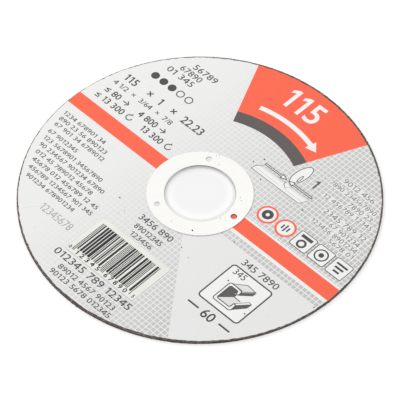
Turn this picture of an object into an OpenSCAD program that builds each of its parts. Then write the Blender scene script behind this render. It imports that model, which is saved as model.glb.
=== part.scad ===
// Thin flat cut-off wheel for a small angle grinder: a moulded abrasive disc with a paper
// label glued to its front, a drawn sheet-metal ring pressed into its bore and a paper code
// sticker on the label. The origin is on the bore's axis at the bare back face, +Z points out
// of the labelled front, and +X runs along the label's cross stripe. Sizes are in millimetres.

/* [Abrasive wheel] */
// Outside diameter of the wheel
wheel_d = 115; // [100:1:125]
// Thickness of the wheel at its rim, with the label
wheel_t = 1; // [0.8:0.1:2]

/* [Paper label] */
// Thickness of the label's paper
label_t = 0.12; // [0.08:0.01:0.2]
// Bare abrasive left between the label's edge and the rim
label_margin = 0.5; // [0.1:0.05:2]

/* [Arbor ring] */
// Bore that fits the grinder's locating flange
bore_d = 22.23; // [20:0.01:24]
// Outside diameter of the ring's flange
flange_d = 33.8; // [32:0.1:40]
// Thickness of the ring's sheet metal
sheet_t = 0.3; // [0.2:0.01:0.4]
// Radius inside the bend from flange to collar
bend_r = 0.1; // [0.05:0.01:0.2]
// Radius that the punch leaves on the front edges of the flange and its holes
edge_r = 0.1; // [0.04:0.01:0.15]
// How far the collar ends short of the wheel's back face
collar_set_back = 0.05; // [0.02:0.01:0.2]
// Room between the ring's collar and what it is pressed into
collar_clearance = 0.02; // [0.01:0.01:0.1]

/* [Key holes] */
// Number of holes pierced through the flange
key_hole_count = 3; // [2:1:8]
// Diameter of a key hole
key_hole_d = 2; // [1:0.1:2.5]
// Diameter of the circle that the key holes lie on
key_circle_d = 28.2; // [27.5:0.1:29.5]
// Angle of the first key hole from the label's stripe
key_hole_turn = 3; // [0:1:120]

/* [Code sticker] */
// Width of the sticker, along the stripe
sticker_w = 29.5; // [20:0.5:34]
// Height of the sticker, across the stripe
sticker_h = 16.7; // [10:0.1:18]
// Thickness of the sticker's paper
sticker_t = 0.08; // [0.05:0.01:0.15]
// Radius of the sticker's die-cut corners
sticker_corner_r = 0.5; // [0.2:0.1:2]
// Distance from the wheel's rim in to the sticker's lower edge
sticker_rim_gap = 13; // [10:0.1:18]

/* [Hidden] */
$fn = 180;

// A cutting tool runs this far past the faces that it cuts
cut_over = 1;

// Radii from the axis outwards
bore_r = bore_d / 2;
collar_r = bore_r + sheet_t;
bend_axis_r = collar_r + bend_r;
flange_r = flange_d / 2;
wheel_r = wheel_d / 2;
label_r = wheel_r - label_margin;

// Heights above the back face: the flange is seated on the label at the wheel's full thickness
disc_t = wheel_t - label_t;
bend_axis_z = wheel_t - bend_r;
collar_h = bend_axis_z - collar_set_back;

// Outside radius of the bend, seen at the mouth of the bore
bend_outer_r = bend_r + sheet_t;

// Distance from the axis to the sticker's middle
sticker_drop = wheel_r - sticker_rim_gap - sticker_h / 2;

// Straight hole through a piece of height h, open at both faces
module through_hole(r, h) {
    translate([0, 0, -cut_over])
        cylinder(r = r, h = h + 2 * cut_over);
}

// Room for the ring's bend at the top of its seat
module bend_relief() {
    translate([0, 0, bend_axis_z])
        cylinder(r = bend_axis_r + collar_clearance, h = bend_r + cut_over);
}

// Abrasive grain in resin on glass mesh, moulded in one piece. The bend is relieved into it
// where its radius is larger than the label is thick
module abrasive_disc() {
    color("#4b4441")
        difference() {
            cylinder(r = wheel_r, h = disc_t);
            through_hole(collar_r + collar_clearance, disc_t);
            bend_relief();
        }
}

// Printed paper that covers the front to just inside the rim
module paper_label() {
    color("#e7e7e5")
        difference() {
            translate([0, 0, disc_t])
                cylinder(r = label_r, h = label_t);
            through_hole(bend_axis_r + collar_clearance, wheel_t);
        }
}

// Quarter of a circle's wall, in the quarter where x is negative and y is positive
module bend_section() {
    intersection() {
        difference() {
            circle(r = bend_outer_r);
            circle(r = bend_r);
        }
        translate([-bend_outer_r, 0])
            square(bend_outer_r);
    }
}

// Flange cut through from its bend to its outer edge, which is rounded on the front only
module flange_section() {
    flange_w = flange_r - bend_axis_r;
    square([flange_w - edge_r, sheet_t]);
    square([flange_w, sheet_t - edge_r]);
    translate([flange_w - edge_r, sheet_t - edge_r])
        circle(r = edge_r);
}

// Half section of the ring: one sheet that turns from the collar into the flange
module ring_section() {
    translate([bore_r, collar_set_back])
        square([sheet_t, collar_h]);
    translate([bend_axis_r, bend_axis_z])
        bend_section();
    translate([bend_axis_r, wheel_t])
        flange_section();
}

// Cut that rounds the front edge of a hole, whose mouth is at height 0
module rolled_edge(r) {
    rotate_extrude()
        difference() {
            translate([0, -edge_r])
                square([r + edge_r, edge_r + cut_over]);
            translate([r + edge_r, -edge_r])
                circle(r = edge_r);
        }
}

// Hole punched through the flange from the front
module key_hole() {
    through_hole(key_hole_d / 2, sheet_t);
    translate([0, 0, sheet_t])
        rolled_edge(key_hole_d / 2);
}

// Holes spaced evenly round the flange
module key_holes() {
    for (i = [0 : key_hole_count - 1])
        rotate([0, 0, key_hole_turn + i * 360 / key_hole_count])
            translate([key_circle_d / 2, 0, wheel_t])
                key_hole();
}

// Tin-plated ring drawn from sheet, with its collar pressed into the wheel
module arbor_ring() {
    color("#f4f3ee")
        difference() {
            rotate_extrude()
                ring_section();
            key_holes();
        }
}

// Rectangle about the origin with round corners
module round_rectangle(w, h, r) {
    square([w, h - 2 * r], center = true);
    square([w - 2 * r, h], center = true);
    for (x = [-1, 1], y = [-1, 1])
        translate([x * (w / 2 - r), y * (h / 2 - r)])
            circle(r = r);
}

// Die-cut paper sticker on the label, below the bore
module code_sticker() {
    color("#f5f4ea")
        translate([0, -sticker_drop, wheel_t])
            linear_extrude(height = sticker_t)
                round_rectangle(sticker_w, sticker_h, sticker_corner_r);
}

abrasive_disc();
paper_label();
arbor_ring();
code_sticker();
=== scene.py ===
import math
import random

import bmesh
import bpy
from mathutils import Matrix, Vector, noise


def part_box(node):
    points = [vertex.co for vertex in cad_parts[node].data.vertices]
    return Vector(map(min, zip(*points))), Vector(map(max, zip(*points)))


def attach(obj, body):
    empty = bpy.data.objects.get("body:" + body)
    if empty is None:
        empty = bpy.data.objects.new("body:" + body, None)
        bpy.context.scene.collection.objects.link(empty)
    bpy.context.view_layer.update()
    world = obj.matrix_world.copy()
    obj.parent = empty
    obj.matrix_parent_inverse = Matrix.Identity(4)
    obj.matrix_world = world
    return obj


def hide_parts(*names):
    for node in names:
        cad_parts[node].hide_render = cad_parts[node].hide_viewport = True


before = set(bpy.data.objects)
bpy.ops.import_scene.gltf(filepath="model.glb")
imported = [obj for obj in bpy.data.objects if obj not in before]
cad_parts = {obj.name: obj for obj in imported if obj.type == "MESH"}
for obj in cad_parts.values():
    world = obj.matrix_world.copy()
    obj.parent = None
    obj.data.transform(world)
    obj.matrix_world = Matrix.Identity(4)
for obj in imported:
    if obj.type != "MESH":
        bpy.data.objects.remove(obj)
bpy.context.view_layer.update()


# Abrasive wheel: grit 60 grain and dark resin, pressed round layers of glass mesh and baked in one piece.
# Its rim is left as it comes from the mould, so single grains stand out of it and break the edge.

MM = 0.001
_, wheel_high = [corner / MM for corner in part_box("abrasive_disc")]
wheel_r = wheel_high.x
wheel_front = wheel_high.z
seat_r = 11.44
yarn_rise = 0.05
grain_d = 0.3
fine_grain_d = 0.15
fine_grain_share = 0.6
grain_jut = 0.1
grain_sink = 0.3
grain_lift = 0.05
lift_place = Vector((50, 0, 0))
grain_bump = 0.12
grain_roughness = 0.85
facet_shine = 0.35
rim_band = 0.7
rim_rows = 6
rim_steps = 1440
sharp_angle = math.radians(35)
weld = 0.0001


class Shade:
    """A shader socket that can be reckoned with: each operator adds the Math node for it."""

    def __init__(self, tree, socket):
        self.tree = tree
        self.socket = socket

    def node(self, kind, settings, inputs, output=0):
        """Adds a node of any kind: its settings first, then the values or links of its sockets."""
        made = self.tree.nodes.new(kind)
        for name, value in settings.items():
            setattr(made, name, value)
        for key, value in inputs.items():
            if isinstance(value, Shade):
                self.tree.links.new(value.socket, made.inputs[key])
            else:
                made.inputs[key].default_value = value
        return Shade(self.tree, made.outputs[output])

    def math(self, operation, first, second=0.0):
        return self.node("ShaderNodeMath", {"operation": operation}, {0: first, 1: second})

    def __add__(self, other):
        return self.math("ADD", self, other)

    def __radd__(self, other):
        return self.math("ADD", other, self)

    def __sub__(self, other):
        return self.math("SUBTRACT", self, other)

    def __rsub__(self, other):
        return self.math("SUBTRACT", other, self)

    def __mul__(self, other):
        return self.math("MULTIPLY", self, other)

    def __rmul__(self, other):
        return self.math("MULTIPLY", other, self)

    def __truediv__(self, other):
        return self.math("DIVIDE", self, other)

    def larger(self, other):
        return self.math("MAXIMUM", self, other)

    def __abs__(self):
        return self.math("ABSOLUTE", self)

    def ramp(self, low, high, smooth=True):
        """0 at low and 1 at high, and held there beyond them."""
        curve = "SMOOTHSTEP" if smooth else "LINEAR"
        limits = {"Value": self, "From Min": low, "From Max": high}
        return self.node("ShaderNodeMapRange", {"interpolation_type": curve}, limits)

    def blend(self, first, second):
        """The first colour where this is 0 and the second where it is 1."""
        return self.node("ShaderNodeMix", {"data_type": "RGBA"}, {0: self, 6: first, 7: second}, 2)

    def axes(self):
        """The three parts of a place."""
        parts = self.node("ShaderNodeSeparateXYZ", {}, {0: self}).socket.node.outputs
        return [Shade(self.tree, part) for part in parts]

    def turned(self, angle):
        """This place, turned round the wheel's axis."""
        return self.node("ShaderNodeMapping", {}, {"Vector": self, "Rotation": (0, 0, angle)})

    def distance(self, point):
        """How far this place is from a point."""
        return self.node("ShaderNodeVectorMath", {"operation": "DISTANCE"}, {0: self, 1: point}, 1)

    def noise(self, size, detail=2.0):
        """Cloudy noise about 0.5 with lumps of this size."""
        return self.node("ShaderNodeTexNoise", {}, {"Vector": self, "Scale": 1 / size, "Detail": detail})

    def bump(self, depth):
        """The surface normal for this height, where 1 stands for a depth in millimetres."""
        return self.node("ShaderNodeBump", {}, {"Height": self, "Distance": depth * MM})


def start_material(name):
    """A new material, its shader and the place on the piece in millimetres."""
    material = bpy.data.materials.new(name)
    material.use_nodes = True
    tree = material.node_tree
    shader = tree.nodes["Principled BSDF"]
    metres = Shade(tree, tree.nodes.new("ShaderNodeTexCoord").outputs["Object"])
    place = metres.node("ShaderNodeVectorMath", {"operation": "SCALE"}, {0: metres, "Scale": 1 / MM})
    return material, shader, place


def set_sockets(shader, **values):
    """Sets or links the shader's sockets, named with _ for each space."""
    for name, value in values.items():
        socket = shader.inputs[name.replace("_", " ")]
        if isinstance(value, Shade):
            value.tree.links.new(value.socket, socket)
        else:
            socket.default_value = value


def make_piece(name, bm, material):
    """Makes a mesh in millimetres an object of the part, which rides on its one body."""
    bmesh.ops.scale(bm, vec=(MM, MM, MM), verts=bm.verts)
    mesh = bpy.data.meshes.new(name)
    bm.to_mesh(mesh)
    bm.free()
    mesh.shade_smooth()
    mesh.set_sharp_from_angle(angle=sharp_angle)
    mesh.materials.append(material)
    piece = bpy.data.objects.new(name, mesh)
    bpy.context.scene.collection.objects.link(piece)
    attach(piece, "root")
    return piece


def spin_round(bm, points, steps, closed=False):
    """Turns a section, given as radii and heights, once round the wheel's axis."""
    corners = [bm.verts.new((radius, 0, height)) for radius, height in points]
    ends = corners[1:] + corners[:1] if closed else corners[1:]
    sides = [bm.edges.new(pair) for pair in zip(corners, ends)]
    bmesh.ops.spin(
        bm,
        geom=corners + sides,
        cent=(0, 0, 0),
        axis=(0, 0, 1),
        angle=math.tau,
        steps=steps,
        use_merge=True,
    )
    bmesh.ops.remove_doubles(bm, verts=bm.verts, dist=weld)
    bmesh.ops.recalc_face_normals(bm, faces=bm.faces)


wheel = bmesh.new()
wall_h = wheel_front - yarn_rise
wall = [(wheel_r, wheel_front - wall_h * row / rim_rows) for row in range(rim_rows + 1)]
shoulders = [wheel_r - rim_band, wheel_r - rim_band / 2]
front_rim = [(radius, wheel_front) for radius in shoulders]
back_rim = [(radius, yarn_rise) for radius in reversed(shoulders)]
wheel_section = [(seat_r, wheel_front), *front_rim, *wall, *back_rim, (seat_r, yarn_rise)]
spin_round(wheel, wheel_section, rim_steps, closed=True)
for vert in wheel.verts:
    radius = vert.co.xy.length
    nearness = max(0.0, 1 - (wheel_r - radius) / rim_band)
    grain = noise.noise(vert.co / grain_d) + fine_grain_share * noise.noise(vert.co / fine_grain_d)
    lift = noise.noise(vert.co / grain_d + lift_place)
    vert.co.xy *= 1 + nearness * grain_jut * (grain - grain_sink) / radius
    vert.co.z += nearness * grain_lift * lift

grain_material, grain_shader, place = start_material("abrasive_grain")
resin = (0.075, 0.065, 0.063, 1)
brown_grain = (0.16, 0.108, 0.092, 1)
pale_grain = (0.33, 0.3, 0.275, 1)
cells = {"Vector": place, "Scale": 1 / grain_d}
cell_tint = place.node("ShaderNodeTexVoronoi", {}, cells, 1).axes()
cell_rise = place.node("ShaderNodeTexVoronoi", {}, cells, 0)
cloud = place.noise(6, 3)
is_brown = (cell_tint[0] + cloud - 0.5).ramp(0.45, 0.75)
is_pale = (cell_tint[1] + 0.3 * cloud).ramp(1.0, 1.12)
grain_colour = is_pale.blend(is_brown.blend(resin, brown_grain), pale_grain)
grain_height = 0.7 * (1 - cell_rise) + 0.3 * place.noise(0.08)
set_sockets(
    grain_shader,
    Base_Color=grain_colour,
    Roughness=grain_roughness - facet_shine * cell_tint[2].ramp(0.6, 1),
    Normal=grain_height.bump(grain_bump),
)
abrasive_wheel = make_piece("abrasive_wheel", wheel, grain_material)
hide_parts("abrasive_disc")


# Glass mesh: loosely woven glass yarn, dipped in resin and pressed into the bare back of the wheel.
# It shows there as a square net of flat ridges that pass over and under each other.

yarn_pitch = 4.2
yarn_w = 1.3
yarn_turn = math.radians(20)
yarn_step = 0.8
yarn_reach = wheel_r - 0.5
yarn_start = 12.6
yarn_count = int(yarn_reach / yarn_pitch)
yarn_ribs = 4
yarn_fray = 0.12
layers_apart = 40
yarn_edge = 1.3
crown_low = 0.75
crown_wave = 0.5
yarn_t = 0.03
yarn_bump = 0.05


def lay_yarn(bm, offset, start, end, over, turn):
    """One yarn beside the axis, as a crowned ribbon that waves over and under those it crosses."""
    length = end - start
    steps = round(length / yarn_step)
    ribbon = bmesh.ops.create_grid(bm, x_segments=steps, y_segments=yarn_ribs, size=0.5)["verts"]
    for vert in ribbon:
        along = start + (vert.co.x + 0.5) * length
        across = vert.co.y
        wave = 0.5 + 0.5 * over * math.cos(math.pi * along / yarn_pitch)
        crown = math.cos(math.pi * across)
        fray = yarn_fray * noise.noise(Vector((along, offset, layers_apart * turn)))
        vert.co.x = along
        vert.co.y = offset + across * yarn_w + fray
        vert.co.z = yarn_rise * (yarn_edge - crown * (crown_low + crown_wave * wave))
    bmesh.ops.rotate(bm, cent=(0, 0, 0), matrix=Matrix.Rotation(turn, 3, "Z"), verts=ribbon)


mesh_cloth = bmesh.new()
for turn in (yarn_turn, yarn_turn + math.pi / 2):
    for row in range(-yarn_count, yarn_count + 1):
        offset = row * yarn_pitch
        over = 1 if (row + (turn > yarn_turn)) % 2 else -1
        far = math.sqrt(yarn_reach**2 - offset**2)
        near = math.sqrt(max(0.0, yarn_start**2 - offset**2))
        if near:
            lay_yarn(mesh_cloth, offset, -far, -near, over, turn)
            lay_yarn(mesh_cloth, offset, near, far, over, turn)
        else:
            lay_yarn(mesh_cloth, offset, -far, far, over, turn)
bmesh.ops.reverse_faces(mesh_cloth, faces=mesh_cloth.faces)
bmesh.ops.solidify(mesh_cloth, geom=mesh_cloth.faces[:], thickness=yarn_t)

yarn_material, yarn_shader, place = start_material("resin_soaked_glass")
soaked = (0.045, 0.036, 0.031, 1)
dry_fibre = (0.12, 0.1, 0.085, 1)
strands = place.noise(0.35, 3)
set_sockets(
    yarn_shader,
    Base_Color=strands.ramp(0.45, 0.75).blend(soaked, dry_fibre),
    Roughness=0.55 + 0.3 * strands,
    Normal=strands.bump(yarn_bump),
)
make_piece("glass_mesh", mesh_cloth, yarn_material)


# Paper label: a ring of printed paper glued over the whole front, laid a little off centre.
# A pale grid fades in towards its right side, with the fine rows on a paler ground,
# and the glass mesh below shows through as a faint emboss.

label_low, label_high = [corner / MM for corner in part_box("paper_label")]
label_t = label_high.z - label_low.z
label_top = label_high.z
label_trim = 0.03
label_r = label_high.x - label_trim
label_bore_r = 11.54
label_shift = Vector((-0.045, -0.05, 0))
label_oval = 0.2
label_fray = 0.2
label_fray_length = 1.6
label_steps = 1440
paper_bump = 0.018
mesh_emboss = 0.25
fibre_lumps = (0.9, 1.4)
fibre_grain = (0.25, 0.15)
stripe_half = 2.74
stripe_middle = 0.15
margin_w = 1.0
crease_middle = (-34.7, -41.7, 1)
crease_turn = math.radians(54)
crease_offset = crease_middle[1] * math.cos(crease_turn) - crease_middle[0] * math.sin(crease_turn)
crease_half = 0.35
crease_ends = (5.5, 2.5)
crease_rise = 3
crease_sway = 1.2
crease_wave = 3


def edge_radius(angle):
    """Distance from the wheel's axis to the label's cut edge."""
    direction = Vector((math.cos(angle), math.sin(angle), 0))
    fray = label_fray * noise.noise(direction * label_r / label_fray_length)
    return label_r + label_shift.dot(direction) + label_oval * math.cos(2 * angle) + fray


def label_ring(inner_r, outer_r=None):
    """A flat ring of the label's surface, out to its cut edge or to a given radius."""
    bm = bmesh.new()
    spin_round(bm, [(inner_r, label_top), (outer_r or label_r, label_top)], label_steps)
    if outer_r is None:
        rim = [vert for vert in bm.verts if vert.co.xy.length > (inner_r + label_r) / 2]
        for vert in rim:
            angle = math.atan2(vert.co.y, vert.co.x)
            vert.co.xy *= edge_radius(angle) / vert.co.xy.length
    return bm


def thicken(bm, height):
    """Gives flat shapes their thickness, up or down."""
    grown = bmesh.ops.extrude_face_region(bm, geom=bm.faces[:])["geom"]
    moved = [part for part in grown if isinstance(part, bmesh.types.BMVert)]
    bmesh.ops.translate(bm, vec=(0, 0, height), verts=moved)
    bmesh.ops.recalc_face_normals(bm, faces=bm.faces)


def paper_relief(place):
    """Height of the paper: the mesh pressed into it from below, its own fibres and a crease."""
    across, along, _ = place.turned(-yarn_turn).axes()
    weft = across.math("COSINE", across * (math.tau / yarn_pitch))
    warp = along.math("COSINE", along * (math.tau / yarn_pitch))
    lumps = fibre_lumps[0] * place.noise(fibre_lumps[1], 3)
    grain = fibre_grain[0] * place.noise(fibre_grain[1])
    sway = crease_sway * (place.noise(crease_wave) - 0.5)
    from_crease = abs(place.turned(-crease_turn).axes()[1] - crease_offset + sway)
    crease = from_crease.ramp(crease_half, 0) * place.distance(crease_middle).ramp(*crease_ends)
    return mesh_emboss * (weft + warp) + lumps + grain + crease_rise * crease


label = label_ring(label_bore_r)
thicken(label, -label_t)

paper_material, paper_shader, place = start_material("label_paper")
paper_grey = (0.822, 0.822, 0.818, 1)
paper_light = (0.862, 0.86, 0.853, 1)
paper_white = (0.92, 0.92, 0.91, 1)
grid_grey = (0.57, 0.565, 0.562, 1)
grid_pitch = 1.593
grid_line = 0.3
grid_start = (0.745, 1.072)
grid_fade = (-27, 31)
wedge_top = -6.9
wedge_corner = (7.7, -15.4)
wedge_normal = (0.785, 0.619)
soft_edge = 0.06
grid_white = 0.54
margin_white = 0.8
under_ring = 16.6
fine_rows = [
    (28.5, 41.6, 35.8, 1.9),
    (25.8, 45.2, 32.4, 1.7),
    (36.0, 46.0, 29.8, 1.7),
    (27.8, 48.25, 27.1, 1.7),
    (32.25, 49.75, 22.7, 1.9),
    (37.25, 49.75, 19.6, 1.7),
    (31.8, 50.8, 17.2, 1.7),
    (41.25, 51.7, 14.8, 1.7),
]
row_fade = 0.75
row_soft = 0.5
shade_lean = 0.3
shade_ends = (40, -60)
cloud_reach = 30
cloud_size = 25
mottle_reach = 24
mottle_size = 1.3
x, y, _ = place.axes()


def grid_squares(distance, start):
    """1 on the printed squares and 0 on the lines between them, along one direction."""
    part = distance.math("FRACT", (distance - start) / grid_pitch)
    from_middle = abs(part - 0.5) * grid_pitch
    half = (grid_pitch - grid_line) / 2
    return from_middle.ramp(half + soft_edge, half - soft_edge)


def row_ground(start, end, middle, height):
    """1 behind a fine row and 0 a little way outside it."""
    from_row = abs(y - middle) - height / 2
    from_ends = abs(x - (start + end) / 2) - (end - start) / 2
    return from_row.ramp(row_soft, 0) * from_ends.ramp(row_soft, 0)


right_of_wedge = wedge_normal[0] * (x - wedge_corner[0]) + wedge_normal[1] * (y - wedge_corner[1])
in_wedge = right_of_wedge.ramp(-soft_edge, soft_edge) * y.ramp(wedge_top + soft_edge, wedge_top - soft_edge)
from_stripe = abs(y) - stripe_half
in_margin = from_stripe.ramp(margin_w + soft_edge, margin_w - soft_edge)
print_side = x.ramp(*grid_fade, smooth=False)
is_printed = (1 - in_wedge) * (1 - in_margin) * print_side
on_square = grid_squares(x, grid_start[0]) * grid_squares(y, grid_start[1])
clouds = cloud_reach * (place.noise(cloud_size) - 0.5)
mottle = mottle_reach * (place.noise(mottle_size, 3) - 0.5)
# Painted light: the ground is greyer on the right and lighter towards the upper left, under the paper's own
# clouds and mottle.
shade_side = x - shade_lean * y + clouds + mottle
ground = shade_side.ramp(*shade_ends, smooth=False).blend(paper_grey, paper_light)
is_bare = place.distance((0, 0, 0)).ramp(under_ring, under_ring - soft_edge)
is_white = (margin_white * in_margin * print_side).larger(grid_white * is_printed).larger(is_bare)
ground = is_white.blend(ground, paper_white)
behind_rows = row_ground(*fine_rows[0])
for row in fine_rows[1:]:
    behind_rows = behind_rows.larger(row_ground(*row))
square_ink = is_printed * on_square * (1 - row_fade * behind_rows)
paper_colour = square_ink.blend(ground, grid_grey)
set_sockets(
    paper_shader,
    Base_Color=paper_colour,
    Roughness=0.5 + 0.15 * place.noise(3),
    Normal=paper_relief(place).bump(paper_bump),
)
printed_label = make_piece("printed_label", label, paper_material)
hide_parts("paper_label")


# Red print: the cross stripe, the panel at the top of the label and two sign rings, in one flat red.
# It is printed on the paper and runs out over its cut edge, and the metal ring sits on the stripe.

red_ink_t = 0.012
stripe_start_r = 12.2
panel_inner_r = 36
panel_half_angle = 25
sign_ring_r = 3.5
sign_ring_line = 0.7
sign_y = 8.8
sign_ring_x = (21.0, 28.65)
spot_steps = 64


def join(ink, shape):
    """Moves a flat shape into an ink."""
    carrier = bpy.data.meshes.new("shape")
    shape.to_mesh(carrier)
    shape.free()
    ink.from_mesh(carrier)
    bpy.data.meshes.remove(carrier)


def cut_away(shape, point, normal):
    """Removes all that lies beyond a plane."""
    everything = shape.verts[:] + shape.edges[:] + shape.faces[:]
    bmesh.ops.bisect_plane(
        shape, geom=everything, dist=weld, plane_co=point, plane_no=normal, clear_outer=True
    )


def sector(inner_r, outer_r, start, end):
    """The part of a flat ring between two angles, counted in degrees to the right from the label's top."""
    shape = label_ring(inner_r, outer_r)
    for side, angle in ((-1, math.radians(start)), (1, math.radians(end))):
        cut_away(shape, (0, 0, 0), (side * math.cos(angle), -side * math.sin(angle), 0))
    return shape


def spot(ink, x, y, radius, squeeze=1.0, turn=0.0):
    """A filled circle, or an ellipse where it is squeezed, turned to the left by some degrees."""
    place = Matrix.Translation((x, y, label_top)) @ Matrix.Rotation(math.radians(turn), 4, "Z")
    place = place @ Matrix.Diagonal((squeeze, 1, 1, 1))
    made = bmesh.ops.create_circle(ink, cap_ends=True, segments=spot_steps, radius=radius, matrix=place)
    return made["verts"][0].link_faces[0]


def outline(ink, face, line):
    """Leaves only a line of this width along the inside of a face's edge."""
    bmesh.ops.inset_individual(ink, faces=[face], thickness=line, use_even_offset=True)
    bmesh.ops.delete(ink, geom=[face], context="FACES")


def ink_material(name, colour, thin):
    """Matt printing ink that follows the paper and is a little thinner in small patches."""
    material, shader, place = start_material(name)
    set_sockets(
        shader,
        Base_Color=place.noise(0.5, 4).ramp(0.35, 0.8).blend(colour, thin),
        Roughness=0.45 + 0.2 * place.noise(2),
        Normal=paper_relief(place).bump(paper_bump),
    )
    return material


red_print = bmesh.new()
stripe = label_ring(stripe_start_r)
cut_away(stripe, (0, stripe_middle + stripe_half, 0), (0, 1, 0))
cut_away(stripe, (0, stripe_middle - stripe_half, 0), (0, -1, 0))
join(red_print, stripe)
join(red_print, sector(panel_inner_r, None, -panel_half_angle, panel_half_angle))
for ring_x in sign_ring_x:
    outline(red_print, spot(red_print, ring_x, sign_y, sign_ring_r), sign_ring_line)
thicken(red_print, red_ink_t)
red_material = ink_material("red_ink", (0.985, 0.13, 0.064, 1), (0.985, 0.155, 0.085, 1))
make_piece("red_print", red_print, red_material)


# Pale print: the number and the arrow on the red panel, and the white fields behind signs and pictures.
# It is paper white that the red and grey prints leave open.

pale_ink_t = 0.018
panel_number_x = -9.2
panel_number_y = 49.0
panel_number_h = 8.2
arrow_r = 40.4
arrow_w = 1.7
arrow_head_half = 2.125
arrow_reach = 16
arrow_tip = 21
cut_plate = [(4.2, 18.8), (24.6, 18.8), (26.3, 22.0), (6.0, 22.0), (4.6, 20.6)]
cut_kerf = [(15.9, 22.3), (16.1, 21.2), (17.5, 20.4)]
cut_wheel = (17.7, 27.65, 4.8, 0.44, -7)
cut_arrows = ((6.2, 15.8), (26.4, 16.0))
cut_arrow_y = 23.2
cut_arrow_head = (2.5, 1.12)
cut_arrow_half = 0.44
cut_wheel_gap = 0.02
cut_wheel_end = (cut_arrows[1][1] - cut_wheel_gap, cut_arrow_y, 0)
cut_wheel_slope = (cut_arrow_head[1], -cut_arrow_head[0], 0)
sign_box_x = (36.35, 43.85, 51.35)
sign_box_w = 6.8
sign_box_corner = 0.8
profile_box = (35.3, -20.4, 16.9, 16.6)
profile_box_corner = 1.4
corner_steps = 8
figure_size = 1.45
figure_cell = 0.73
figure_line = 0.135
figure_steps = 4
sign_cells = {" ": 0.4, ".": 0.32, "/": 0.41, "1": 0.6, "×": 0.85, "≤": 0.95, "→": 1.4, "↻": 1.4}
bold = 0.016
regular = 0.002
light = -0.012
cut_signs = {}


def rectangle(ink, x, y, w, h):
    """An upright rectangle about a middle point."""
    place = Matrix.Translation((x, y, label_top)) @ Matrix.Diagonal((w, h, 1, 1))
    made = bmesh.ops.create_grid(ink, x_segments=1, y_segments=1, size=0.5, matrix=place)
    return made["verts"][0].link_faces[0]


def round_corners(shape, corners, radius, steps):
    """Rounds some corners of a flat shape."""
    bmesh.ops.bevel(
        shape,
        geom=corners,
        offset=radius,
        affect="VERTICES",
        segments=steps,
        profile=0.5,
        material=-1,
    )


def round_box(x, y, w, h, corner):
    """A rectangle with round corners, as a shape of its own."""
    shape = bmesh.new()
    rectangle(shape, x, y, w, h)
    round_corners(shape, shape.verts[:], corner, corner_steps)
    return shape


def polygon(ink, points):
    """A flat face with these corners."""
    face = ink.faces.new([ink.verts.new((x, y, label_top)) for x, y in points])
    face.normal_update()
    return face


def arrow_corners(tail, tip):
    """Corners of a flat arrow that points along the label, counted to the left round it."""
    length, half = cut_arrow_head
    head = tip - math.copysign(length, tip - tail)
    right = [(tail, -cut_arrow_half), (head, -cut_arrow_half), (head, -half)]
    corners = right + [(tip, 0)] + [(x, -y) for x, y in reversed(right)]
    return [(x, cut_arrow_y + y) for x, y in (corners if tip > tail else reversed(corners))]


def numeral(sign, weight):
    """A plain sign one high, as a shape of its own: 1 and 4 are drawn, the rest come from the font."""
    shape = bmesh.new()
    line = figure_line + 2 * weight
    if sign == "1":
        left, right = 0.46 - line, 0.46
        flag = [(0.32, 1), (0.1, 0.86), (0.1, 0.86 - line), (left, 0.97 - line)]
        polygon(shape, [(left, 0), (right, 0), (right, 1), *flag])
        return shape
    if sign == "4":
        left, right = 0.58 - line, 0.58
        low, high = 0.28, 0.28 + line
        inner = 1.35 * line
        peak = high + (1 - high) * (left - inner) / left
        stem = [(left, 0), (right, 0), (right, low), (right, high), (right, 1)]
        polygon(shape, [*stem, (left, 1), (left, peak), (left, high), (left, low)])
        polygon(shape, [(0, low), (left, low), (left, high), (inner, high), (0, high)])
        polygon(shape, [(right, low), (0.69, low), (0.69, high), (right, high)])
        polygon(shape, [(0, high), (inner, high), (left, peak), (left, 1)])
        bmesh.ops.remove_doubles(shape, verts=shape.verts, dist=weld)
        return shape
    if (sign, weight) not in cut_signs:
        figure = bpy.data.curves.new("figure", "FONT")
        figure.body = sign
        figure.size = figure_size
        figure.offset = weight
        figure.resolution_u = figure_steps
        writer = bpy.data.objects.new("figure", figure)
        bpy.context.scene.collection.objects.link(writer)
        depsgraph = bpy.context.evaluated_depsgraph_get()
        cut_signs[sign, weight] = bpy.data.meshes.new_from_object(writer.evaluated_get(depsgraph))
        bpy.data.objects.remove(writer)
        bpy.data.curves.remove(figure)
    shape.from_mesh(cut_signs[sign, weight])
    bmesh.ops.remove_doubles(shape, verts=shape.verts, dist=weld)
    return shape


def lay_figures(ink, text, x, y, height, reach=None, weight=bold):
    """Plain numbers in a row from x to the right, about a middle line, drawn in or out to a reach."""
    cells = [sign_cells.get(sign, figure_cell) for sign in text]
    wide = (reach - x) / sum(cells) if reach else height
    for sign, cell in zip(text, cells):
        if sign != " ":
            shape = numeral(sign, weight)
            bmesh.ops.scale(shape, vec=(wide, height, 0), verts=shape.verts)
            bmesh.ops.translate(shape, vec=(x, y - height / 2, label_top), verts=shape.verts)
            join(ink, shape)
        x += cell * wide


pale_print = bmesh.new()
lay_figures(pale_print, "115", panel_number_x, panel_number_y, panel_number_h)
join(pale_print, sector(arrow_r - arrow_w / 2, arrow_r + arrow_w / 2, -arrow_reach, arrow_reach))
head_sides = [(arrow_reach, arrow_r - arrow_head_half), (arrow_reach, arrow_r + arrow_head_half)]
head = [(math.radians(angle), radius) for angle, radius in [*head_sides, (arrow_tip, arrow_r)]]
polygon(pale_print, [(radius * math.sin(angle), radius * math.cos(angle)) for angle, radius in head])
wheel_face = bmesh.new()
spot(wheel_face, *cut_wheel)
cut_away(wheel_face, cut_wheel_end, cut_wheel_slope)
join(pale_print, wheel_face)
polygon(pale_print, cut_plate)
for tail, tip in cut_arrows:
    polygon(pale_print, arrow_corners(tail, tip))
for ring_x in sign_ring_x:
    spot(pale_print, ring_x, sign_y, sign_ring_r - sign_ring_line)
for box_x in sign_box_x:
    join(pale_print, round_box(box_x, sign_y, sign_box_w, sign_box_w, sign_box_corner))
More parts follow.
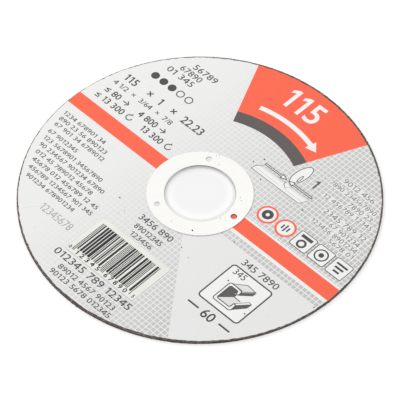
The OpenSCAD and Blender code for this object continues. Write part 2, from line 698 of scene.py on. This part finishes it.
join(pale_print, round_box(*profile_box, profile_box_corner))
thicken(pale_print, pale_ink_t)
pale_material = ink_material("paper_white", (0.92, 0.92, 0.91, 1), (0.89, 0.89, 0.88, 1))
make_piece("pale_print", pale_print, pale_material)


# Dark print: plain numbers, signs, a channel section and the band below the red panel, in black ink.
# The sizes and speeds are a wheel's usual ones, and the small rows only count on from figure to figure.

dark_ink_t = 0.024
grade_row_y = -32.1
grade_row_x = 35.3
grade_dash = (6.5, 4.5, 0.6)
rated_figures = [
    ("115", -51.6, 18.1, 2.9),
    ("×", -41.6, 18.1, 2.9),
    ("1", -36.4, 18.1, 2.9),
    ("×", -31.0, 18.1, 2.9),
    ("22.23", -25.8, 18.1, 2.9),
    ("4 1/2  ×  3/64  ×  7/8", -52.6, 14.0, 1.9, -26.5, regular),
    ("≤ 80 →", -52.6, 10.0, 2.4),
    ("4 800 →", -37.2, 10.0, 2.4),
    ("≤ 13 300 ↻", -53.4, 6.35, 2.4),
    ("13 300 ↻", -32.6, 6.35, 2.4),
    ("60", 32.6, grade_row_y, 3.4),
]
counted_rows = [
    (-38.75, -28.4, 36.7, 2.3),
    (-41.5, -32.4, 33.5, 2.3),
    (-44.4, -32.8, 30.3, 2.3),
    (-54.8, -35.9, -6.55, 1.6),
    (-54.0, -32.5, -9.2, 1.6),
    (-53.4, -31.1, -11.8, 1.6),
    (-52.75, -39.6, -15.2, 1.6),
    (-51.9, -25.5, -18.1, 1.6),
    (-50.8, -21.7, -21.0, 1.6),
    (-49.4, -24.0, -23.9, 1.6),
    (-47.9, -18.4, -26.8, 1.6),
    (-46.5, -18.0, -29.7, 1.6),
    (-44.7, -23.2, -32.6, 1.6),
    (-7.2, 7.1, -19.3, 2.3),
    (-5.7, 6.0, -22.9, 1.9),
    (-4.6, 4.7, -26.0, 1.8),
    (-16.5, 16.6, -46.8, 2.6),
    (-11.1, 13.3, -50.5, 1.9),
    (-11.9, 14.3, -53.4, 1.9),
    (28.1, 43.2, -9.7, 2.4),
    (28.7, 33.8, -14.1, 2.3),
]
grade_dots = (-44.8, -41.0, -37.2, -33.4, -29.6)
grade_y = 24.9
grade_r = 1.45
full_dots = 3
dot_line = 0.35
count_cell = 0.82
first_gap = (2, 7)
next_gap = (3, 8)
washer_sign = (1.9, 1.25)
pulse_sign = ((-1.1, 1.8), (0, 3.0), (1.1, 1.8))
pulse_line = 0.55
roof_sign = (1.75, 4.4, 1.2)
hoop_sign = (-1.05, 1.7, 0.75)
target_sign = (2.4, 0.5, 0.9)
steps_sign = ((-1.5, 2.4), (0, 3.4), (1.5, 4.4))
steps_line = 0.75
frame_line = 0.26
profile_line = 0.48
channel_line = 0.33
channel_corner = 0.9
lip_corner = 0.4
channel_section = [
    (31.0, -18.05),
    (31.0, -26.45),
    (38.65, -26.45),
    (38.65, -23.3),
    (37.3, -23.3),
    (37.3, -25.1),
    (32.25, -25.1),
    (32.25, -19.3),
    (35.2, -19.3),
    (35.2, -20.4),
    (36.45, -20.4),
    (36.45, -18.05),
]
outside_corners = (0, 1, 2, 11)
channel_steps = 5
band_inner_r = 31.6


def lay_count(ink, x0, x1, y, height, draw, weight=regular):
    """A row of figures that count on one by one, with gaps left in it here and there."""
    length = round((x1 - x0) / (count_cell * height))
    start = draw.randrange(10)
    signs = [str((start + place) % 10) for place in range(length)]
    gap = draw.randint(*first_gap)
    while gap < length - 2:
        signs[gap] = " "
        gap += draw.randint(*next_gap)
    lay_figures(ink, "".join(signs), x0, y, height, x1, weight)


def stroke(ink, points, line):
    """A line of this width from point to point."""
    for start, end in zip(points, points[1:]):
        along = (Vector(end) - Vector(start)).normalized() * line / 2
        start, end = Vector(start) - along, Vector(end) + along
        side = Vector((-along.y, along.x))
        polygon(ink, [start - side, end - side, end + side, start + side])


dark_print = bmesh.new()
draw = random.Random(7)
for row in counted_rows:
    lay_count(dark_print, *row, draw)
for row in rated_figures:
    lay_figures(dark_print, *row)
for dot_x in grade_dots:
    dot = spot(dark_print, dot_x, grade_y, grade_r)
    if dot_x in grade_dots[full_dots:]:
        outline(dark_print, dot, dot_line)
dash_reach, dash_w, dash_h = grade_dash
for side in (-1, 1):
    rectangle(dark_print, grade_row_x + side * dash_reach, grade_row_y, dash_w, dash_h)
outline(dark_print, spot(dark_print, sign_ring_x[0], sign_y, washer_sign[0]), washer_sign[1])
for dx, tall in pulse_sign:
    rectangle(dark_print, sign_ring_x[1] + dx, sign_y, pulse_line, tall)
rectangle(dark_print, sign_box_x[0], sign_y + roof_sign[0], *roof_sign[1:])
outline(dark_print, spot(dark_print, sign_box_x[0], sign_y + hoop_sign[0], hoop_sign[1]), hoop_sign[2])
outline(dark_print, spot(dark_print, sign_box_x[1], sign_y, target_sign[0]), target_sign[1])
spot(dark_print, sign_box_x[1], sign_y, target_sign[2])
for dy, wide in steps_sign:
    rectangle(dark_print, sign_box_x[2], sign_y + dy, wide, steps_line)
for box_x in sign_box_x:
    box = round_box(box_x, sign_y, sign_box_w, sign_box_w, sign_box_corner)
    outline(box, box.faces[:][0], frame_line)
    join(dark_print, box)
box = round_box(*profile_box, profile_box_corner)
outline(box, box.faces[:][0], profile_line)
join(dark_print, box)
channel = bmesh.new()
corners = polygon(channel, channel_section).verts[:]
outside = [corners[place] for place in outside_corners]
inside = [corner for corner in corners if corner not in outside]
for group, radius in ((outside, channel_corner), (inside, lip_corner)):
    round_corners(channel, group, radius, channel_steps)
outline(channel, channel.faces[:][0], channel_line)
join(dark_print, channel)
thicken(dark_print, dark_ink_t)
dark_material = ink_material("dark_ink", (0.058, 0.055, 0.054, 1), (0.085, 0.081, 0.079, 1))
make_piece("dark_print", dark_print, dark_material)

band_print = bmesh.new()
join(band_print, sector(band_inner_r, panel_inner_r, -panel_half_angle, panel_half_angle))
thicken(band_print, red_ink_t)
band_material = ink_material("band_ink", (0.1, 0.087, 0.081, 1), (0.125, 0.111, 0.104, 1))
make_piece("band_print", band_print, band_material)


# Grey print: the fine rows on the right, the thin lines and pale faces of the pictures and a stamped row.
# Each is laid on thinner than the dark print, so its ink looks lighter.

grey_ink_t = 0.021
tint_ink_t = 0.0195
cut_line = 0.26
arrow_line = 0.3
plate_line = 0.22
faint_line = 0.1
plate_split = 18.4
cut_hub = (18.4, 26.3, 1.7, 0.3)
cut_figure = ("1", 22.4, 28.1, 3.6)
plate_halves = ((5.6, 15.6), (18.2, 25.4))
plate_tints = ((0, 21.5, 0.6), (-0.6, 19.9, 0.4))
lip_line = 0.22
channel_top = [(31.8, -18.25), (36.3, -18.6), (39.75, -15.65), (35.8, -15.3)]
lip_top = [(37.3, -23.5), (38.6, -23.5), (41.85, -19.95), (40.6, -19.7)]
channel_sides = [
    [(36.45, -20.3), (36.45, -18.7), (39.85, -15.65), (39.75, -17.35)],
    [(38.65, -25.7), (38.65, -23.35), (41.9, -19.85), (41.7, -21.9)],
    [(32.25, -25.1), (35.95, -21.5), (36.0, -20.5), (35.2, -20.4), (35.2, -19.3), (32.25, -19.3)],
]
channel_behind = [(35.95, -21.5), (38.4, -21.6)]
channel_floor = [(32.25, -25.1), (37.3, -25.1), (38.3, -21.6), (35.95, -21.5)]
stamp_row = ("12345678", -32.3, -38.0, 2.9, -18.6, light)

fine_print = bmesh.new()
for row in fine_rows:
    lay_count(fine_print, *row, draw, light)
thicken(fine_print, grey_ink_t)
fine_material = ink_material("fine_ink", (0.125, 0.122, 0.12, 1), (0.19, 0.186, 0.183, 1))
make_piece("fine_print", fine_print, fine_material)

grey_print = bmesh.new()
near_left, near_right, far_right, far_left, far_bend = cut_plate
split = (plate_split, far_right[1])
stroke(grey_print, [far_left, far_bend, near_left, near_right], plate_line)
stroke(grey_print, [far_left, (cut_kerf[0][0], far_left[1])], faint_line)
stroke(grey_print, [near_right, far_right, split], faint_line)
stroke(grey_print, cut_kerf, plate_line)
stroke(grey_print, [cut_kerf[2], split], faint_line)
wheel_line = bmesh.new()
outline(wheel_line, spot(wheel_line, *cut_wheel), cut_line)
cut_away(wheel_line, cut_wheel_end, cut_wheel_slope)
join(grey_print, wheel_line)
outline(grey_print, spot(grey_print, *cut_hub), cut_line)
for tail, tip in cut_arrows:
    outline(grey_print, polygon(grey_print, arrow_corners(tail, tip)), arrow_line)
lay_figures(grey_print, *cut_figure)
outline(grey_print, polygon(grey_print, channel_top), cut_line)
outline(grey_print, polygon(grey_print, lip_top), lip_line)
for face in channel_sides:
    polygon(grey_print, face)
stroke(grey_print, channel_behind, channel_line)
thicken(grey_print, grey_ink_t)
grey_material = ink_material("grey_ink", (0.085, 0.08, 0.078, 1), (0.14, 0.135, 0.133, 1))
make_piece("grey_print", grey_print, grey_material)

tint_print = bmesh.new()
for start, end in plate_halves:
    for shift, y, tall in plate_tints:
        rectangle(tint_print, (start + end) / 2 + shift, y, end - start, tall)
polygon(tint_print, channel_top)
polygon(tint_print, channel_floor)
thicken(tint_print, tint_ink_t)
tint_material = ink_material("tint_ink", (0.76, 0.755, 0.75, 1), (0.8, 0.795, 0.79, 1))
make_piece("tint_print", tint_print, tint_material)

stamp_print = bmesh.new()
lay_figures(stamp_print, *stamp_row)
thicken(stamp_print, grey_ink_t)
stamp_material = ink_material("stamp_ink", (0.3, 0.3, 0.295, 1), (0.6, 0.6, 0.59, 1))
make_piece("stamp_print", stamp_print, stamp_material)


# Code sticker: a small cream paper label, die cut and stuck on by hand over the lower print.
# Upright bars of many widths are printed on it above a row of figures, and a grey line of painted shadow
# rings its cut edge.

sticker_low, sticker_high = [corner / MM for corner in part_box("code_sticker")]
sticker_top = sticker_high.z
sticker_corner = 0.5
edge_shadow_line = 0.12
bar_module = 0.265
bar_span = (-12.9, 12.2)
bar_y = -35.9
bar_h = 12.6
guards = (bar_span[0], 0, bar_span[1])
guard_reach = 0.8
guard_drop = 1.2
bar_mix = (((1, 2, 2, 3, 4), (1, 1, 1, 2)), ((1, 1, 2, 3), (1, 1, 2, 3)))
heavy = 0.03
cream_dark = (0.83, 0.83, 0.785, 1)
cream_light = (0.87, 0.87, 0.825, 1)
sticker_bump = 0.006
bar_figures = [
    ("0", -14.3, -43.0, 1.2, None, heavy),
    ("1 2 3 4 5", -11.2, -43.2, 1.6, -0.8, heavy),
    ("6 7 8 9 0", 1.4, -43.2, 1.6, 11.0, heavy),
    ("5", 13.3, -43.0, 1.2, None, heavy),
]

sticker_material, sticker_shader, place = start_material("sticker_paper")
set_sockets(
    sticker_shader,
    Base_Color=place.noise(4, 3).ramp(0.3, 0.7).blend(cream_dark, cream_light),
    Roughness=0.55 + 0.1 * place.noise(2),
    Normal=place.noise(0.12).bump(sticker_bump),
)
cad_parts["code_sticker"].data.materials[0] = sticker_material

sticker_middle = (sticker_low + sticker_high) / 2
sticker_size = sticker_high - sticker_low
# Painted shadow: a thin grey line just outside the sticker's cut edge.
edge_shadow_box = round_box(
    sticker_middle.x,
    sticker_middle.y,
    sticker_size.x + 2 * edge_shadow_line,
    sticker_size.y + 2 * edge_shadow_line,
    sticker_corner + edge_shadow_line,
)
outline(edge_shadow_box, edge_shadow_box.faces[:][0], edge_shadow_line)
thicken(edge_shadow_box, red_ink_t)
edge_shadow_material = ink_material("edge_shadow_ink", (0.42, 0.415, 0.4, 1), (0.6, 0.595, 0.58, 1))
make_piece("sticker_edge_shadow", edge_shadow_box, edge_shadow_material)

bars = bmesh.new()
draw = random.Random(21)
bar_x = bar_span[0]
while bar_x < bar_span[1]:
    is_guard = min(abs(bar_x - guard) for guard in guards) < guard_reach
    bar_choice, gap_choice = bar_mix[bar_x > 0]
    wide = bar_module * (1 if is_guard else draw.choice(bar_choice))
    drop = guard_drop if is_guard else 0
    rectangle(bars, bar_x + wide / 2, bar_y - drop / 2, wide, bar_h + drop)
    bar_x += wide + bar_module * (1 if is_guard else draw.choice(gap_choice))
for row in bar_figures:
    lay_figures(bars, *row)
bmesh.ops.translate(bars, vec=(0, 0, sticker_top - label_top), verts=bars.verts)
thicken(bars, red_ink_t)
bar_material = ink_material("bar_ink", (0.01, 0.01, 0.01, 1), (0.03, 0.03, 0.029, 1))
make_piece("code_bars", bars, bar_material)


# Arbor ring: tin-plated sheet, blanked and drawn in one stroke, with its collar pressed into the bore.
# Its flange lies on the label and has three pierced holes. Below its flat face the tin is greyed with
# painted shade, and a dark ring of painted shadow lies on the print inside one hole.

_, ring_high = [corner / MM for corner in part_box("arbor_ring")]
ring_top = ring_high.z
bend_shade_top = ring_top - 0.005
bend_shade_full = ring_top - 0.07
collar_top = 0.9
collar_end = 0.2
outer_edge = (12.5, 13.0)
hole_shadow_ring = (14.08, 0.74, 1.0)
hole_shadow_line = 0.26
hole_shadow_t = 0.016
tin_bright = (0.985, 0.979, 0.943, 1)
tin_dull = (0.972, 0.965, 0.93, 1)
collar_shade_low = (0.76, 0.755, 0.74, 1)
collar_shade_high = (0.57, 0.565, 0.555, 1)
edge_shade_tin = (0.92, 0.915, 0.895, 1)
tin_bump = 0.004

tin_material, tin_shader, place = start_material("tin_plate")
height = place.axes()[2]
dull = place.noise(2.5, 4)
# Painted shade: below the flat face the tin is greyed, darkest at the bend and top of the collar, and a
# little on the outer edge and round the holes.
painted_shade = height.ramp(bend_shade_top, bend_shade_full)
plated = dull.ramp(0.3, 0.7).blend(tin_bright, tin_dull)
drawn = height.ramp(collar_end, collar_top).blend(collar_shade_low, collar_shade_high)
drawn = place.distance((0, 0, 0)).ramp(*outer_edge).blend(drawn, edge_shade_tin)
set_sockets(
    tin_shader,
    Base_Color=painted_shade.blend(plated, drawn),
    Metallic=1.0,
    Roughness=0.24 + 0.12 * dull,
    Normal=place.noise(0.4, 3).bump(tin_bump),
)
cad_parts["arbor_ring"].data.materials[0] = tin_material

# Painted shadow: a dark ring on the print just inside one hole, where the hole's wall shades it.
hole_shadow_print = bmesh.new()
outline(hole_shadow_print, spot(hole_shadow_print, *hole_shadow_ring), hole_shadow_line)
thicken(hole_shadow_print, hole_shadow_t)
hole_shadow_material = ink_material("hole_shadow_ink", (0.17, 0.06, 0.05, 1), (0.25, 0.1, 0.085, 1))
make_piece("hole_shadow_print", hole_shadow_print, hole_shadow_material)


# Loose grit: single grains and dust that have come off the rim and lie on the ring and the label.
# They are the wheel's own grain, and the largest are about as wide as the grain in its rim.

grit_on_ring = [
    (8.8, -12.3, 0.5),
    (10.2, 7.6, 0.26),
    (11.35, 6.9, 0.24),
    (1.6, -14.25, 0.26),
    (-11.9, 2.1, 0.2),
    (-3.8, 12.5, 0.22),
    (13.5, -2.2, 0.2),
    (11.7, -2.8, 0.24),
    (-7.0, 14.5, 0.22),
    (-6.3, 15.2, 0.2),
]
grit_on_label = [
    (10.9, -19.2, 0.38),
    (21.2, -6.3, 0.4),
    (22.7, -4.8, 0.28),
    (2.9, 21.1, 0.4),
    (4.8, 24.2, 0.42),
    (9.6, 17.4, 0.38),
    (-16.8, -18.8, 0.5),
    (-12.0, -21.4, 0.3),
    (27.5, 17.7, 0.52),
    (55.9, -7.3, 0.46),
    (30.2, -18.3, 0.52),
    (42.6, -23.9, 0.48),
    (15.2, -20.6, 0.28),
]
dust_count = 70
dust_d = (0.08, 0.17)
dust_reach = 54
grain_flat = 0.6
grain_seat = 0.45
grain_corners = (0.7, 1.25)
ring_clear = 0.3
grit_dark = (0.03, 0.026, 0.025, 1)
grit_brown = (0.085, 0.068, 0.06, 1)
grit_bump = 0.03


def drop_grain(bm, x, y, surface, size, draw):
    """One grain that lies flat on a surface, with its corners drawn in or out by chance."""
    middle = (x, y, surface + grain_seat * grain_flat * size)
    place = Matrix.Translation(middle) @ Matrix.Diagonal((1, 1, grain_flat, 1))
    corners = bmesh.ops.create_icosphere(bm, subdivisions=1, radius=size / 2, matrix=place)["verts"]
    for corner in corners:
        corner.co.xy = Vector((x, y)) + (corner.co.xy - Vector((x, y))) * draw.uniform(*grain_corners)


grit = bmesh.new()
draw = random.Random(5)
for x, y, size in grit_on_ring:
    drop_grain(grit, x, y, ring_top, size, draw)
for x, y, size in grit_on_label:
    drop_grain(grit, x, y, label_top, size, draw)
for _ in range(dust_count):
    radius = dust_reach * math.sqrt(draw.random())
    angle = math.tau * draw.random()
    size = draw.uniform(*dust_d)
    if radius > ring_high.x + ring_clear:
        drop_grain(grit, radius * math.cos(angle), radius * math.sin(angle), label_top, size, draw)
grit_material, grit_shader, place = start_material("loose_grain")
set_sockets(
    grit_shader,
    Base_Color=place.noise(0.2).ramp(0.35, 0.7).blend(grit_dark, grit_brown),
    Roughness=0.6 + 0.2 * place.noise(0.3),
    Normal=place.noise(0.08).bump(grit_bump),
)
make_piece("loose_grit", grit, grit_material)


# Studio: a white table, one wide soft box behind and to the left of the wheel, even light all round,
# and a long lens that looks down on the wheel from the label's lower right.

camera_turn = math.radians(44.6)
camera_rise = math.radians(51.21)
camera_far = 905.3
camera_lens = 259.45
camera_sensor = 36
camera_clip = 0.01
aim_near = 1.79
table_glow = 0.55
bore_glow = 0.67
bore_middle_glow = 0.23
bore_middle_shift = 1.05
bore_edge = (14, 12)
fill_edge = (10.6, 10.2)
fill_rise = (7, 10.2)
fill_low = 0.4
table_edge = (30, 40)
table_grey = (0.5, 0.5, 0.5, 1)
table_drop = 0.02
black = (0, 0, 0, 1)
white = (1, 1, 1, 1)
ambient = 0.66
side_dim = 0.8
side_edge = (0.25, 0.65)
lamp_w = 1.0
lamp_power = 7.0
lamp_far = 0.55
lamp_high = 1.4
ray_kinds = ("Is Camera Ray", "Is Glossy Ray", "Is Transmission Ray")
right = Vector((math.cos(camera_turn), math.sin(camera_turn), 0))
towards = Vector((math.sin(camera_turn), -math.cos(camera_turn), 0))
up = Vector((0, 0, 1))

floor_mesh = bmesh.new()
bmesh.ops.create_grid(floor_mesh, x_segments=1, y_segments=1, size=1)
floor_data = bpy.data.meshes.new("floor")
floor_mesh.to_mesh(floor_data)
floor_mesh.free()
floor = bpy.data.objects.new("floor", floor_data)
floor.location.z = -table_drop * MM
bpy.context.scene.collection.objects.link(floor)
floor_material, floor_shader, place = start_material("white_table")
direct, glossy, through = [place.node("ShaderNodeLightPath", {}, {}, kind) for kind in ray_kinds]
flat_place = place.node("ShaderNodeVectorMath", {"operation": "MULTIPLY"}, {0: place, 1: (1, 1, 0)})
from_axis = flat_place.distance((0, 0, 0))
# Painted shade: inside the bore the table's glow is lower, lowest in a ring near the wall as the wall's
# shadow, and its brighter middle is set off away from the camera.
from_middle = flat_place.distance(-bore_middle_shift * towards)
in_middle = from_middle.ramp(*fill_edge) * (fill_low + (1 - fill_low) * from_middle.ramp(*fill_rise))
in_bore = from_axis.ramp(*bore_edge) * (bore_glow + bore_middle_glow * in_middle)
glow = direct.larger(glossy).larger(through) * (from_axis.ramp(*table_edge) + in_bore)
set_sockets(floor_shader, Base_Color=table_grey, Roughness=0.9, Emission_Strength=table_glow)
set_sockets(floor_shader, Emission_Color=glow.blend(black, white))
floor_data.materials.append(floor_material)

world = bpy.data.worlds.new("studio")
bpy.context.scene.world = world
world.use_nodes = True
sky = world.node_tree.nodes["Background"]
coordinates = world.node_tree.nodes.new("ShaderNodeTexCoord")
heading = Shade(world.node_tree, coordinates.outputs["Generated"])
direct, glossy, through = [heading.node("ShaderNodeLightPath", {}, {}, kind) for kind in ray_kinds]
shown = direct.larger(through).larger(glossy)
nearness = heading.node("ShaderNodeVectorMath", {"operation": "DOT_PRODUCT"}, {0: heading, 1: towards}, 1)
dim_side = side_dim * nearness.ramp(*side_edge)
set_sockets(sky, Strength=ambient + (1 - ambient) * shown - glossy * dim_side, Color=white)

lamp_data = bpy.data.lights.new("soft_box", "AREA")
lamp_data.size = lamp_w
lamp_data.energy = lamp_power
lamp = bpy.data.objects.new("soft_box", lamp_data)
lamp.location = lamp_far * (-right - towards + lamp_high * up)
lamp.rotation_mode = "QUATERNION"
lamp.rotation_quaternion = (-lamp.location).to_track_quat("-Z", "Y")
lamp.visible_glossy = False
bpy.context.scene.collection.objects.link(lamp)

camera_data = bpy.data.cameras.new("camera")
camera_data.lens = camera_lens
camera_data.sensor_width = camera_sensor
camera_data.clip_start = camera_clip
camera = bpy.data.objects.new("camera", camera_data)
camera.location = camera_far * MM * (math.cos(camera_rise) * towards + math.sin(camera_rise) * up)
camera.rotation_mode = "QUATERNION"
camera.rotation_quaternion = (aim_near * MM * towards - camera.location).to_track_quat("-Z", "Y")
bpy.context.scene.collection.objects.link(camera)
bpy.context.scene.camera = camera
bpy.context.scene.view_settings.view_transform = "Standard"
